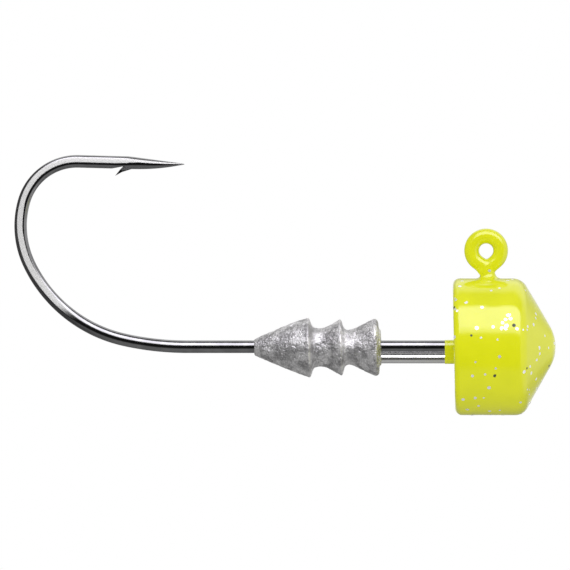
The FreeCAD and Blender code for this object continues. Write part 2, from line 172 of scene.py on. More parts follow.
# The point is ground to a long, slightly full taper, with a fine blunt tip.
TIP_RADIUS = 0.025 * MM
TAPER_FULLNESS = 0.62
POINT_SAG = 0.07 * MM
TOP_ARM = 10 * MM
blunt = TIP_RADIUS / WIRE
for vert in hook_shape.verts:
    along = (vert.co - taper_start).dot(point_way)
    if vert.co.z > TOP_ARM and along > 0:
        share = along / POINT_TAPER
        full = (1 - share) * (1 + TAPER_FULLNESS * share) * (1 - blunt) + blunt
        axis = taper_start + point_way * along
        sag = Vector((0, 0, -POINT_SAG)) * math.sin(math.pi * share)
        vert.co = axis + (vert.co - axis) * full + sag

# The press leaves two flats on the bend, a little askew, which run out softly into the round wire.
# A layer on the mesh marks a band on the front and back that the finish makes satin and paints
# lighter: the flats' satin with a painted highlight, shifted up along the bend, and a painted
# highlight alone on the round ground taper, where nothing is pressed.
FORGED_HALF = 0.43 * MM
FLAT_HARDNESS = 9
PRESS_SKEW = math.radians(9)
GAP_MIDDLE = Vector((-27 * MM, 0, 7.5 * MM))
GAP_REACH = 6 * MM
UPPER_HALF = 9 * MM
LOWER_FADE = (-28.6 * MM, -32.4 * MM)
UPPER_FADE = (-24.4 * MM, -26.4 * MM)

# The edges of the satin and painted highlight band, as heights above the wire's middle in shares
# of its radius.
SATIN_HIGHLIGHT_REACH = 0.45
SATIN_HIGHLIGHT_SHIFT = 0.18
UPPER_INNER_HIGHLIGHT_LIFT = 0.15
GROUND_HIGHLIGHT_LIFT = 0.32
SATIN_HIGHLIGHT_BLUR = 0.06
satin_highlight_layer = hook_shape.verts.layers.float.new("pressed")
hook_shape.verts.ensure_lookup_table()
for first in range(0, len(hook_shape.verts), WIRE_SIDES):
    ring = hook_shape.verts[first:first + WIRE_SIDES]
    centre = sum((vert.co for vert in ring), Vector()) / len(ring)
    pressed = smooth_step(*LOWER_FADE, centre.x)
    ground = 0
    if centre.z > UPPER_HALF:
        pressed = smooth_step(*UPPER_FADE, centre.x)
        ground = 1 - pressed
    if pressed + ground == 0:
        continue
    rise = min(max((centre.z - GAP_MIDDLE.z) / GAP_REACH, -1), 1)
    skew = PRESS_SKEW * rise
    low_edge = GROUND_HIGHLIGHT_LIFT * ground + UPPER_INNER_HIGHLIGHT_LIFT * max(rise, 0) - SATIN_HIGHLIGHT_REACH
    for vert in ring:
        reach = vert.co - centre
        outward = Vector((reach.x, 0, reach.z))
        side = 1 if outward.dot(centre - GAP_MIDDLE) > 0 else -1
        away = side * outward.length
        depth = reach.y * math.cos(skew) - away * math.sin(skew)
        squeezed = depth / (1 + (abs(depth) / FORGED_HALF) ** FLAT_HARDNESS) ** (1 / FLAT_HARDNESS)
        change = (squeezed - depth) * pressed
        height = away / max(reach.length, TIP_RADIUS) - SATIN_HIGHLIGHT_SHIFT * rise
        above = smooth_step(low_edge - SATIN_HIGHLIGHT_BLUR, low_edge + SATIN_HIGHLIGHT_BLUR, height)
        below = smooth_step(SATIN_HIGHLIGHT_REACH + SATIN_HIGHLIGHT_BLUR, SATIN_HIGHLIGHT_REACH - SATIN_HIGHLIGHT_BLUR, height)
        vert[satin_highlight_layer] = (pressed + ground) * above * below
        vert.co.y += change * math.cos(skew)
        if outward.length > 0:
            vert.co -= outward.normalized() * side * change * math.sin(skew)

hook_wire = finish_mesh(hook_shape, "hook_wire", sharp=50)

# The barb is a sliver lifted by a slanting cut, open towards the bend.
BARB_NOTCH = 4.83 * MM
BARB_NOTCH_DEPTH = 0.30 * MM
BARB_TIP = 5.45 * MM
BARB_DROP = 1.06 * MM
BARB_ROOT = 3.95 * MM
tip = taper_start + point_way * POINT_TAPER
down = Vector((-point_way.z, 0, point_way.x)) * -1


def beside_point(back, drop, y=0.0):
    return tip - point_way * back + down * drop + Vector((0, y, 0))


def wedge(name, outline, half_width, taper_to=None):
    """A closed prism across the wire from a few corners measured back and down from the tip."""
    shape = bmesh.new()
    corners = [shape.verts.new(beside_point(back, drop, -half_width)) for back, drop in outline]
    face = shape.faces.new(corners)
    drawn = bmesh.ops.extrude_face_region(shape, geom=[face])["geom"]
    far = [item for item in drawn if isinstance(item, bmesh.types.BMVert)]
    bmesh.ops.translate(shape, verts=far, vec=(0, 2 * half_width, 0))
    if taper_to is not None:
        for vert in shape.verts:
            if (vert.co - tip).dot(down) > WIRE * 1.1:
                vert.co.y *= taper_to
    return finish_mesh(shape, name, sharp=20)


def carve(piece, tool, operation):
    """Join a tool to a piece, or cut it away, and drop the tool."""
    step = piece.modifiers.new("carve", "BOOLEAN")
    step.operation = operation
    step.object = tool
    step.solver = "EXACT"
    graph = bpy.context.evaluated_depsgraph_get()
    carved = bpy.data.meshes.new_from_object(piece.evaluated_get(graph))
    piece.modifiers.clear()
    piece.data = carved
    bpy.data.objects.remove(tool)


notch = wedge("notch_tool", (
    (BARB_NOTCH, BARB_NOTCH_DEPTH),
    (BARB_NOTCH + 0.75 * MM, WIRE * 0.93),
    (BARB_NOTCH + 1.5 * MM, WIRE * 1.25),
    (BARB_TIP + 0.1 * MM, BARB_DROP * 1.2),
), WIRE * 1.4)
carve(hook_wire, notch, "DIFFERENCE")
sliver = wedge("barb_tool", (
    (BARB_NOTCH, BARB_NOTCH_DEPTH),
    (BARB_NOTCH + 0.28 * MM, BARB_NOTCH_DEPTH + 0.30 * MM),
    (BARB_TIP, BARB_DROP),
    (BARB_NOTCH + 0.12 * MM, BARB_DROP * 0.72),
    (BARB_ROOT, WIRE * 0.84),
    (BARB_ROOT, 0),
), WIRE * 0.66, taper_to=0.42)
carve(hook_wire, sliver, "UNION")


class Field:
    """A shader socket that can be used in Python arithmetic."""

    def __init__(self, tree, socket):
        self.tree = tree
        self.socket = socket

    def node(self, kind, settings=None, inputs=None, out=0):
        """Any node: its settings first, then the values or links of its sockets."""
        made = self.tree.nodes.new(kind)
        for name, value in (settings or {}).items():
            if name == "stops":
                self.fill_ramp(made.color_ramp.elements, value)
            else:
                setattr(made, name, value)
        for key, value in (inputs or {}).items():
            if isinstance(value, Field):
                self.tree.links.new(value.socket, made.inputs[key])
            else:
                made.inputs[key].default_value = value
        return Field(self.tree, made.outputs[out])

    @staticmethod
    def fill_ramp(elements, stops):
        """Greys along a ramp, each a position and a brightness."""
        while len(elements) < len(stops):
            elements.new(0.5)
        for element, (position, grey) in zip(elements, stops):
            element.position = position
            element.color = (grey, grey, grey, 1)

    def axis(self, index):
        """One coordinate: 0 is X, 1 is Y and 2 is Z."""
        return self.node("ShaderNodeSeparateXYZ", None, {0: self}, out=index)

    def maths(self, operation, first, second):
        return self.node("ShaderNodeMath", {"operation": operation}, {0: first, 1: second})

    def __add__(self, other):
        return self.maths("ADD", self, other)

    def __sub__(self, other):
        return self.maths("SUBTRACT", self, other)

    def __rsub__(self, other):
        return self.maths("SUBTRACT", other, self)

    def __mul__(self, other):
        return self.maths("MULTIPLY", self, other)

    __radd__ = __add__
    __rmul__ = __mul__

    def above(self, low, high):
        """0 below low, 1 above high, and a soft rise between."""
        return self.node("ShaderNodeMapRange", {"interpolation_type": "SMOOTHSTEP", "clamp": True},
                         {"Value": self, "From Min": low, "From Max": high})

    def noise(self, scale, detail=2.0, roughness=0.5, stretch=None):
        """Even noise from 0 to 1 on these coordinates; scale is in turns per metre."""
        place = self
        if stretch is not None:
            place = self.node("ShaderNodeMapping", None, {"Vector": self, "Scale": stretch})
        return place.node("ShaderNodeTexNoise", {"noise_dimensions": "3D"},
                          {"Vector": place, "Scale": scale, "Detail": detail,
                           "Roughness": roughness})

    def between(self, first, second):
        """The colour that lies this far from first to second."""
        return self.node("ShaderNodeMix", {"data_type": "RGBA"},
                         {"Factor": self, "A": first, "B": second}, out=2)

    def dents(self, depth):
        """A normal bent by this height, which runs from 0 to depth metres."""
        return self.node("ShaderNodeBump", None,
                         {"Height": self, "Strength": 1.0, "Distance": depth})


class Finish:
    """One material: its coordinates, and the surface that they shade."""

    def __init__(self, name):
        self.material = bpy.data.materials.new(name)
        self.material.use_nodes = True
        self.tree = self.material.node_tree
        self.surface = self.tree.nodes["Principled BSDF"]
        here = self.tree.nodes.new("ShaderNodeTexCoord")
        self.place = Field(self.tree, here.outputs["Object"])

    def set(self, **values):
        for name, value in values.items():
            socket = self.surface.inputs[name.replace("_", " ")]
            if isinstance(value, Field):
                self.tree.links.new(value.socket, socket)
            else:
                socket.default_value = value
        return self

    def put_on(self, *pieces):
        for piece in pieces:
            piece.data.materials.clear()
            piece.data.materials.append(self.material)


plated = Finish("black_nickel_plate")
draw_marks = plated.place.noise(900, 3, 0.6)
fine_grain = plated.place.noise(9000, 2, 0.6)
# The layer paints the plate a light, matt grey: satin on the flats, and a painted highlight there
# and along the ground taper.
satin_and_highlight = plated.place.node("ShaderNodeAttribute", {"attribute_name": "pressed"}, out="Fac")
satin_and_highlight = satin_and_highlight.above(0.15, 0.85)
bright = draw_marks.above(0.35, 0.7).between((0.23, 0.23, 0.235, 1), (0.30, 0.30, 0.305, 1))
painted_highlight_grey = fine_grain.above(0.3, 0.7).between((0.62, 0.62, 0.62, 1), (0.70, 0.695, 0.69, 1))
plated.set(
    Base_Color=satin_and_highlight.between(bright, painted_highlight_grey),
    Metallic=1.0 - satin_and_highlight * 0.88,
    Roughness=0.09 + draw_marks * 0.05 + fine_grain * 0.03 + satin_and_highlight * 0.3,
    Normal=(draw_marks * 0.7 + fine_grain * 0.3).dents(0.012 * MM))
plated.put_on(hook_wire)
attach(hook_wire, "root")
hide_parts("hook")

# ---------------------------------------------------------------- support wire
# A straight, thinner steel wire under the shank. It is cast into the keeper and
# the head at its ends, and keeps the keeper from turning on the hook.

support_low, support_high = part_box("support_wire")
SUPPORT = (support_high.z - support_low.z) / 2
support_z = (support_low.z + support_high.z) / 2
support_shape = bmesh.new()
support_ring = wire_section(support_shape, SUPPORT, support_low.x, support_z)
rod = Tube(support_shape, support_ring, support_low.x, support_z, 0)
rod.run(support_high.x - support_low.x, 40)
bmesh.ops.holes_fill(support_shape, edges=support_shape.edges)
support_rod = finish_mesh(support_shape, "support_rod", sharp=50)
drawn_steel = Finish("bright_drawn_wire")
die_marks = drawn_steel.place.noise(6000, 3, 0.6, stretch=(0.05, 1, 1))
drawn_steel.set(
    Base_Color=die_marks.above(0.3, 0.7).between((0.74, 0.74, 0.735, 1), (0.84, 0.835, 0.83, 1)),
    Metallic=0.9,
    Roughness=0.12 + die_marks * 0.06,
    Normal=die_marks.dents(0.006 * MM))
drawn_steel.put_on(support_rod)
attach(support_rod, "root")
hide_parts("support_wire")

# ---------------------------------------------------------------- bait keeper
# Three cone barbs of bare lead cast round both wires in a steel mould. The skin
# is dull and sandy, with pits, and the casting leans a little on the shank.

KEEPER_STEP = 0.055 * MM
KEEPER_SIDES = 220
KEEPER_LEAN = math.tan(math.radians(1.7))
KEEPER_SAG = 0.05 * MM
KEEPER_BORE = 0.5
SKIN_DROP = 0.012
SAND_HEIGHT = 0.016
SWELL_HEIGHT = 0.03
PIT_DEPTH = 0.16
PIT_RARITY = 0.32
FLASH_HEIGHT = 0.018
FLASH_WIDTH = 0.05
KEEPER_OUTLINE = (
    (-5.69, 0.40), (-5.69, 1.38), (-5.86, 1.42), (-5.89, 1.99), (-5.98, 2.17), (-6.18, 2.27),
    (-6.40, 2.18), (-6.9, 1.93), (-7.5, 1.62), (-7.95, 1.42), (-8.3, 1.36), (-8.53, 1.44),
    (-8.66, 1.68), (-8.76, 2.08), (-8.88, 2.22), (-9.05, 2.12), (-9.5, 1.88), (-9.95, 1.63),
    (-10.35, 1.50), (-10.75, 1.50), (-11.02, 1.60), (-11.15, 1.82), (-11.26, 2.20), (-11.40, 2.37),
    (-11.60, 2.29), (-12.2, 2.10), (-13.7, 1.50), (-15.1, 0.89), (-15.6, 0.66), (-15.71, 0.56),
    (-15.71, 0.40),
)


def turned(name, outline, sides, step):
    """A closed ring of an outline, turned round the X axis; the outline is eased with a curve."""
    curve = bpy.data.curves.new(name, "CURVE")
    curve.dimensions = "3D"
    curve.resolution_u = 5
    spline = curve.splines.new("NURBS")
    spline.points.add(len(outline) - 1)
    for point, (x, out) in zip(spline.points, outline):
        point.co = (x * MM, 0, out * MM, 1)
    spline.order_u = 3
    spline.use_endpoint_u = True
    drawn = bpy.data.objects.new(name, curve)
    line = bpy.data.meshes.new_from_object(drawn)
    shape = bmesh.new()
    shape.from_mesh(line)
    long_edges = [edge for edge in shape.edges if edge.calc_length() > step]
    while long_edges:
        bmesh.ops.subdivide_edges(shape, edges=long_edges, cuts=1)
        long_edges = [edge for edge in shape.edges if edge.calc_length() > step]
    bmesh.ops.spin(shape, geom=shape.verts[:] + shape.edges[:], cent=(0, 0, 0), axis=(1, 0, 0),
                   angle=2 * math.pi, steps=sides, use_merge=True, use_duplicate=False)
    bpy.data.objects.remove(drawn)
    bpy.data.curves.remove(curve)
    return shape


keeper_shape = turned("keeper_outline", KEEPER_OUTLINE, KEEPER_SIDES, KEEPER_STEP)
ends = [edge for edge in keeper_shape.edges if edge.is_boundary]
bmesh.ops.bridge_loops(keeper_shape, edges=ends)
bmesh.ops.remove_doubles(keeper_shape, verts=keeper_shape.verts, dist=MERGED)
bmesh.ops.recalc_face_normals(keeper_shape, faces=keeper_shape.faces)
keeper_shape.normal_update()
for vert in keeper_shape.verts:
    here = vert.co / MM
    sand = noise.fractal(here * 5.2, 0.6, 2.0, 4)
    swell = noise.noise(here * 0.9 + Vector((3, 7, 1)))
    pit = max(0.0, noise.noise(here * 3.1 + Vector((9, 2, 5))) - PIT_RARITY)
    flash = math.exp(-(here.y / FLASH_WIDTH) ** 2) * FLASH_HEIGHT
    grow = SAND_HEIGHT * sand + SWELL_HEIGHT * swell - PIT_DEPTH * pit + flash
    if math.hypot(here.y, here.z) > KEEPER_BORE:
        vert.co += vert.normal * (grow - SKIN_DROP) * MM
    vert.co.x -= vert.co.z * KEEPER_LEAN
    vert.co.z -= KEEPER_SAG
keeper_casting = finish_mesh(keeper_shape, "keeper_casting", sharp=180)

lead = Finish("bare_cast_lead")
sand = lead.place.noise(7500, 4, 0.65)
blotch = lead.place.noise(1100, 3, 0.6)
pits = 1 - lead.place.noise(3800, 2, 0.5).above(0.30, 0.46)
lead.set(
    Base_Color=(blotch.above(0.38, 0.62) * 0.6 + sand.above(0.35, 0.65) * 0.4).between(
        (0.26, 0.255, 0.26, 1), (0.88, 0.87, 0.87, 1)),
    Metallic=0.75,
    Roughness=0.25 + sand * 0.20 + pits * 0.15,
    Normal=(sand * 0.8 + blotch * 0.2 - pits * 0.5).dents(0.07 * MM))
lead.put_on(keeper_casting)
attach(keeper_casting, "root")
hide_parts("keeper")

# ---------------------------------------------------------------- powder coat on the head
# Chartreuse powder baked on the lead head. It rounds the casting's edges, runs
# on a little way down both wires, and has a faint orange peel under its gloss.

COAT = 0.07
HEAD = 5.4
BARREL = 5.43
CONE = math.radians(60.3)
NOSE = 3.15
SHOULDER = 1.2
BACK_EDGE = 0.55
HEAD_SIDES = 200
HEAD_STEP = 0.14
CORE_SIDES = 96
CORE_STEP = 0.3
HEAD_LEAN = math.tan(math.radians(1.1))
LEAN_FADE = (7.6 * MM, 4.4 * MM)
SKIN_WAVE = 0.012
SKIN_RIPPLE = 0.005
SKIN_INSET = 0.014
CORE_GAP = 0.02


def rounded(centre_x, centre_out, radius, start, end, steps):
    """Points of an arc, given by its centre, its radius and the angles of its two ends."""
    for index in range(steps + 1):
        angle = math.radians(start + (end - start) * index / steps)
        yield centre_x + radius * math.cos(angle), centre_out + radius * math.sin(angle)


def head_skin(inset):
    """Half section of the head, from the middle of its back face to the tip of its nose."""
    nose_centre = BARREL + HEAD / math.tan(CONE) - NOSE / math.sin(CONE)
    cone_normal = 90 - math.degrees(CONE)
    shoulder_x = BARREL - SHOULDER * math.tan(CONE / 2)
    yield inset, 0.0
    yield inset, HEAD - BACK_EDGE
    yield from rounded(BACK_EDGE, HEAD - BACK_EDGE, BACK_EDGE - inset, 180, 90, 10)
    yield from rounded(shoulder_x, HEAD - SHOULDER, SHOULDER - inset, 90, cone_normal, 14)
    yield from rounded(nose_centre, 0, NOSE - inset, cone_normal, 0, 24)


def lathe(shape, points, sides, longest):
    """Turn a line of points round the X axis, after dividing what is longer than longest."""
    line = [shape.verts.new((x * MM, 0, out * MM)) for x, out in points]
    edges = [shape.edges.new(pair) for pair in zip(line, line[1:])]
    for edge in edges:
        cuts = int(edge.calc_length() / (longest * MM))
        if cuts:
            bmesh.ops.subdivide_edges(shape, edges=[edge], cuts=cuts)
    bmesh.ops.spin(shape, geom=shape.verts[:] + shape.edges[:], cent=(0, 0, 0), axis=(1, 0, 0),
                   angle=2 * math.pi, steps=sides, use_merge=True, use_duplicate=False)
    bmesh.ops.remove_doubles(shape, verts=shape.verts, dist=CLOSED_UP)


def leaned(place):
    """Where this place goes in a mould that met askew: the back leans, the nose stays."""
    lean = place.z * HEAD_LEAN * smooth_step(*LEAN_FADE, place.x)
    return place - Vector((lean, 0, 0))


def ripple(place):
    """How far the baked skin lies from its full size here; it is always inside it."""
    here = place / MM
    wave = noise.noise(here * 0.55) * SKIN_WAVE
    wave += noise.noise(here * 1.7 + Vector((5, 5, 5))) * SKIN_RIPPLE
    return (wave - SKIN_INSET) * MM


head_shape = bmesh.new()
lathe(head_shape, list(head_skin(0.0)), HEAD_SIDES, HEAD_STEP)
bmesh.ops.recalc_face_normals(head_shape, faces=head_shape.faces)
head_shape.normal_update()
for vert in head_shape.verts:
    vert.co = leaned(vert.co + vert.normal * ripple(vert.co))
head_coat = finish_mesh(head_shape, "head_coat", sharp=180)
wall = head_coat.modifiers.new("coat thickness", "SOLIDIFY")
wall.thickness = COAT * MM
wall.offset = -1

coat = Finish("chartreuse_powder_coat")
peel = coat.place.noise(2600, 2, 0.5)
cloud = coat.place.noise(420, 2, 0.5)
coat.set(
    Base_Color=cloud.above(0.3, 0.7).between((0.725, 0.755, 0.003, 1), (0.765, 0.79, 0.005, 1)),
    Roughness=0.45 + peel * 0.06,
    Specular_IOR_Level=0.08,
    Coat_Weight=1.0,
    Coat_IOR=1.55,
    Coat_Roughness=0.045,
    Normal=(peel * 0.8 + cloud * 0.2).dents(0.004 * MM))
coat.put_on(head_coat)
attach(head_coat, "root")
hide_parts("paint_coat")

# The lead core leans with its coat, so that no lead shows at the back rim.
core_shape = bmesh.new()
lathe(core_shape, list(head_skin(COAT + CORE_GAP)), CORE_SIDES, CORE_STEP)
for vert in core_shape.verts:
    vert.co = leaned(vert.co)
head_casting = finish_mesh(core_shape, "head_casting", sharp=40)
lead.put_on(head_casting)
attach(head_casting, "root")
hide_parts("head_core")

# ---------------------------------------------------------------- powder coat on the ring
# The same coat over the neck and the line ring. It bridges the wire's cut end to
# the neck, fills the corners, and spreads in a small foot on top of the head.

NECK_X = ELBOW_START + ELBOW
NECK_COAT = 0.088 * MM
NECK_ROOT = HEAD * MM - 0.7 * MM
EYE_GRAIN = 0.032 * MM
EYE_SMOOTHINGS = 90
EYE_COAT_GROWTH = 1.02
RING_FOOT = NECK_TOP + 1.2 * MM
STRAND_EARLY = 19
RING_TURN = 360 - RING_OPENING - STRAND_EARLY
STRAND = 1.6 * MM
CROTCH = Vector((2.55, 0, 6.47)) * MM
CROTCH_FILL = 0.36 * MM
eye_shape = bmesh.new()
neck_ring = wire_section(eye_shape, WIRE + NECK_COAT, NECK_X, NECK_ROOT, upright=True)
neck = Tube(eye_shape, neck_ring, NECK_X, NECK_ROOT, 90)
neck.run(NECK_TOP - NECK_ROOT, 4).turn(SWEEP, SWEEP_ANGLE, 1, 20)
neck.turn(RING, RING_TURN, -1, 84).run(STRAND, 10)
bmesh.ops.holes_fill(eye_shape, edges=eye_shape.edges)
bmesh.ops.create_icosphere(eye_shape, subdivisions=3, radius=CROTCH_FILL,
                           matrix=Matrix.Translation(CROTCH))
for vert in eye_shape.verts:
    if vert.co.z > RING_FOOT:
        around = vert.co - ring_centre
        flat = Vector((around.x, 0, around.z)).normalized() * RING
        vert.co = ring_centre + flat + (around - flat) * EYE_COAT_GROWTH

# The coat spreads in a foot, a concave fillet from the neck out over the head's round top.
FOOT_NECK = 0.588
FOOT_FILLET = 0.32
FOOT_SPREAD = 0.5
FOOT_EDGE = 0.06
FOOT_SIDES = 64


def foot_profile():
    """Half section of the foot, from its axis under the head's top to its axis over it."""
    corner = FOOT_NECK + FOOT_FILLET
    yield 0.0, HEAD - FOOT_SPREAD
    yield corner + FOOT_SPREAD, HEAD - FOOT_SPREAD
    yield corner + FOOT_SPREAD, HEAD - FOOT_EDGE
    yield from rounded(corner, HEAD + FOOT_FILLET, FOOT_FILLET, -90, -180, 8)
    yield 0.0, HEAD + FOOT_FILLET


foot = bmesh.new()
foot_points = [foot.verts.new((out * MM, 0, up * MM)) for out, up in foot_profile()]
foot_edges = [foot.edges.new(pair) for pair in zip(foot_points, foot_points[1:])]
bmesh.ops.spin(foot, geom=foot_points + foot_edges, cent=(0, 0, 0), axis=(0, 0, 1),
               angle=2 * math.pi, steps=FOOT_SIDES, use_merge=True, use_duplicate=False)
bmesh.ops.remove_doubles(foot, verts=foot.verts, dist=CLOSED_UP)
for vert in foot.verts:
    fall = HEAD * MM - math.sqrt((HEAD * MM) ** 2 - vert.co.y ** 2)
    vert.co.z -= fall
bmesh.ops.translate(foot, verts=foot.verts, vec=(NECK_X, 0, 0))
foot_mesh = bpy.data.meshes.new("foot")
foot.to_mesh(foot_mesh)
foot.free()
eye_shape.from_mesh(foot_mesh)
bpy.data.meshes.remove(foot_mesh)

eye_coat = finish_mesh(eye_shape, "eye_coat", sharp=180)
flow = eye_coat.modifiers.new("flow together", "REMESH")
flow.mode = "VOXEL"
flow.voxel_size = EYE_GRAIN
graph = bpy.context.evaluated_depsgraph_get()
flowed = bmesh.new()
flowed.from_mesh(bpy.data.meshes.new_from_object(eye_coat.evaluated_get(graph)))
for _ in range(EYE_SMOOTHINGS):
    bmesh.ops.smooth_vert(flowed, verts=flowed.verts, factor=0.5,
                          use_axis_x=True, use_axis_y=True, use_axis_z=True)

# A shallow groove is left where the wire's cut end meets the neck, and a step above the foot.
SEAM_TOP = Vector((2.91, 6.60))
SEAM_FOOT = Vector((2.62, 6.18))
SEAM_DEPTH = 0.022
STEP_LEVEL = 5.72
STEP_DEPTH = 0.007
GROOVE_WIDTH = 0.06
NECK_REACH = (0.7, 0.5)
MIDDLE_FADE = (0.15, 0.4)
seam = SEAM_FOOT - SEAM_TOP
for vert in flowed.verts:
    here = Vector((vert.co.x, vert.co.z)) / MM
    share = min(max((here - SEAM_TOP).dot(seam) / seam.length_squared, 0), 1)
    off_seam = (here - SEAM_TOP - seam * share).length / GROOVE_WIDTH
    off_step = (here.y - STEP_LEVEL) / GROOVE_WIDTH
    on_neck = smooth_step(*NECK_REACH, abs(here.x - NECK_X / MM))
    groove = math.exp(-off_seam ** 2) * SEAM_DEPTH
    groove += math.exp(-off_step ** 2) * STEP_DEPTH * on_neck
    groove *= smooth_step(*MIDDLE_FADE, abs(vert.co.y) / MM)
    vert.co.y -= math.copysign(groove * MM, vert.co.y)
bpy.data.objects.remove(eye_coat)
eye_coat = finish_mesh(flowed, "eye_coat", sharp=180)
coat.put_on(eye_coat)
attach(eye_coat, "root")
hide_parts("paint_coat")

# ---------------------------------------------------------------- powder coat on the wires
# A short sleeve of coat round both wires where they leave the head, where the
# powder crept past the mask. Its front edge is slightly rounded.

SLEEVE = 0.7 * MM
SLEEVE_WALL = 0.04 * MM
SLEEVE_MOUTH = 0.3 * MM
SLEEVE_ROUND = 0.03 * MM
LONG_SIDE = 0.3 * MM
outer, inner = (WIRE + SLEEVE_WALL) / MM, (SUPPORT + SLEEVE_WALL) / MM
tangent = math.degrees(math.asin((outer - inner) / (-support_z / MM)))
sleeve_shape = bmesh.new()
sleeve_outline = [*rounded(0, 0, outer, -tangent, 180 + tangent, 28),
                  *rounded(0, support_z / MM, inner, 180 + tangent, 360 - tangent, 28)]
corners = [sleeve_shape.verts.new((SLEEVE_MOUTH, y * MM, z * MM)) for y, z in sleeve_outline]
sleeve_ring = [sleeve_shape.edges.new(pair) for pair in zip(corners, corners[1:] + corners[:1])]
sides = [edge for edge in sleeve_ring if edge.calc_length() > LONG_SIDE]
bmesh.ops.subdivide_edges(sleeve_shape, edges=sides, cuts=9)
sleeve = Tube(sleeve_shape, sleeve_shape.edges[:], SLEEVE_MOUTH, 0, 180)
sleeve.run(SLEEVE + SLEEVE_MOUTH, 5)
bmesh.ops.contextual_create(sleeve_shape, geom=sleeve.ring)
front = [edge for edge in sleeve_shape.edges
         if not edge.is_boundary and edge.calc_face_angle(0) > 1]
bmesh.ops.bevel(sleeve_shape, geom=front, offset=SLEEVE_ROUND, affect="EDGES", segments=3,
                profile=0.5, material=-1)
bmesh.ops.holes_fill(sleeve_shape, edges=sleeve_shape.edges)
sleeve_coat = finish_mesh(sleeve_shape, "sleeve_coat", sharp=40)
coat.put_on(sleeve_coat)
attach(sleeve_coat, "root")
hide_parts("paint_coat")

# ---------------------------------------------------------------- glitter
# Hexagons cut from metal foil and stirred into the powder. They lie in the coat
# at slightly different tilts, so each one catches the light in its own way.

FLAKE_SEED = 41
FLAKE_THICK = 0.016 * MM
FLAKE_SUNK = 0.011 * MM
MOST_TILT = 0.08
SCATTERED = 250
SMALL_AND_LARGE = (0.17, 0.34)
DARK_EVERY, FIRST_DARK = 13, 5
CLOT = 10
CLOT_TRAVEL = 9.36
CLOT_ANGLE = math.radians(161)
CLOT_SPREAD = (0.55, 0.085)
CLOT_SIZES = (0.28, 0.38)
CLEAR_OF_NECK = 1.2 * MM
CLEAR_OF_SLEEVE = 1.3 * MM
draw = random.Random(FLAKE_SEED)


def flake(shape, spot, normal, width, tilt):
    """One thin hexagon, with the middle of its under side at this spot."""
    upright = normal.to_track_quat("Z", "Y").to_matrix().to_4x4()
    lean = Matrix.Rotation(draw.uniform(0, 2 * math.pi), 4, "Z") @ Matrix.Rotation(tilt, 4, "X")
    place = Matrix.Translation(spot) @ upright @ lean
    made = bmesh.ops.create_circle(shape, cap_ends=True, segments=6, radius=width / 2,
                                   matrix=place)
    face = list({face for vert in made["verts"] for face in vert.link_faces})
    drawn = bmesh.ops.extrude_face_region(shape, geom=face)["geom"]
    top = [item for item in drawn if isinstance(item, bmesh.types.BMVert)]
    rise = (place.to_3x3() @ Vector((0, 0, 1))) * FLAKE_THICK
    bmesh.ops.translate(shape, verts=top, vec=rise)


head_outline = list(head_skin(0.0))


def on_head(travel, around):
    """A place on the head's full size and its normal, this far from the middle of the back."""
    for (x, out), (next_x, next_out) in zip(head_outline, head_outline[1:]):
        length = math.hypot(next_x - x, next_out - out)
        if travel < length:
            break
        travel -= length
    share = min(travel / length, 1)
    x, level, lean = x + (next_x - x) * share, (next_x - x) / length, (out - next_out) / length
    out += (next_out - out) * share
    spot = Vector((x, out * math.cos(around), out * math.sin(around))) * MM
    return spot, Vector((lean, level * math.cos(around), level * math.sin(around)))


def scatter():
    """Travel, angle and sizes for each flake: a wide scatter, and a clot near the shoulder."""
    whole = sum(math.dist(*pair) for pair in zip(head_outline, head_outline[1:]))
    for _ in range(SCATTERED):
        yield draw.uniform(0.5, whole), draw.uniform(0, 2 * math.pi), SMALL_AND_LARGE
    for _ in range(CLOT):
        travel = draw.gauss(CLOT_TRAVEL, CLOT_SPREAD[0])
        yield travel, draw.gauss(CLOT_ANGLE, CLOT_SPREAD[1]), CLOT_SIZES


silver_shape, dark_shape = bmesh.new(), bmesh.new()
for count, (travel, around, sizes) in enumerate(scatter()):
    spot, normal = on_head(travel, around)
    width = draw.uniform(*sizes) * MM
    tilt = min(max(draw.gauss(0, MOST_TILT), -MOST_TILT), MOST_TILT)
    # Fewer near the axis, where a turn round the head covers less of it.
    is_kept = draw.random() * HEAD * MM < math.hypot(spot.y, spot.z)
    by_neck = spot.z > 0 and math.hypot(spot.x - NECK_X, spot.y) < CLEAR_OF_NECK
    from_sleeve = math.hypot(spot.y, spot.z - support_z / 2)
    by_sleeve = spot.x < SLEEVE_MOUTH and from_sleeve < CLEAR_OF_SLEEVE
    if by_neck or by_sleeve or not is_kept:
        continue
    which = dark_shape if count % DARK_EVERY == FIRST_DARK else silver_shape
    flake(which, leaned(spot + normal * (ripple(spot) - FLAKE_SUNK)), normal, width, tilt)

# One stray flake sits on the front of the neck, under the ring.
STRAY_NEAR = Vector((2.97, -1.2, 5.95)) * MM
STRAY_WIDTH = 0.26 * MM
STRAY_SUNK = 0.01 * MM
_, spot, normal, _ = eye_coat.closest_point_on_mesh(STRAY_NEAR)
flake(silver_shape, spot - normal * STRAY_SUNK, normal, STRAY_WIDTH, 0.0)

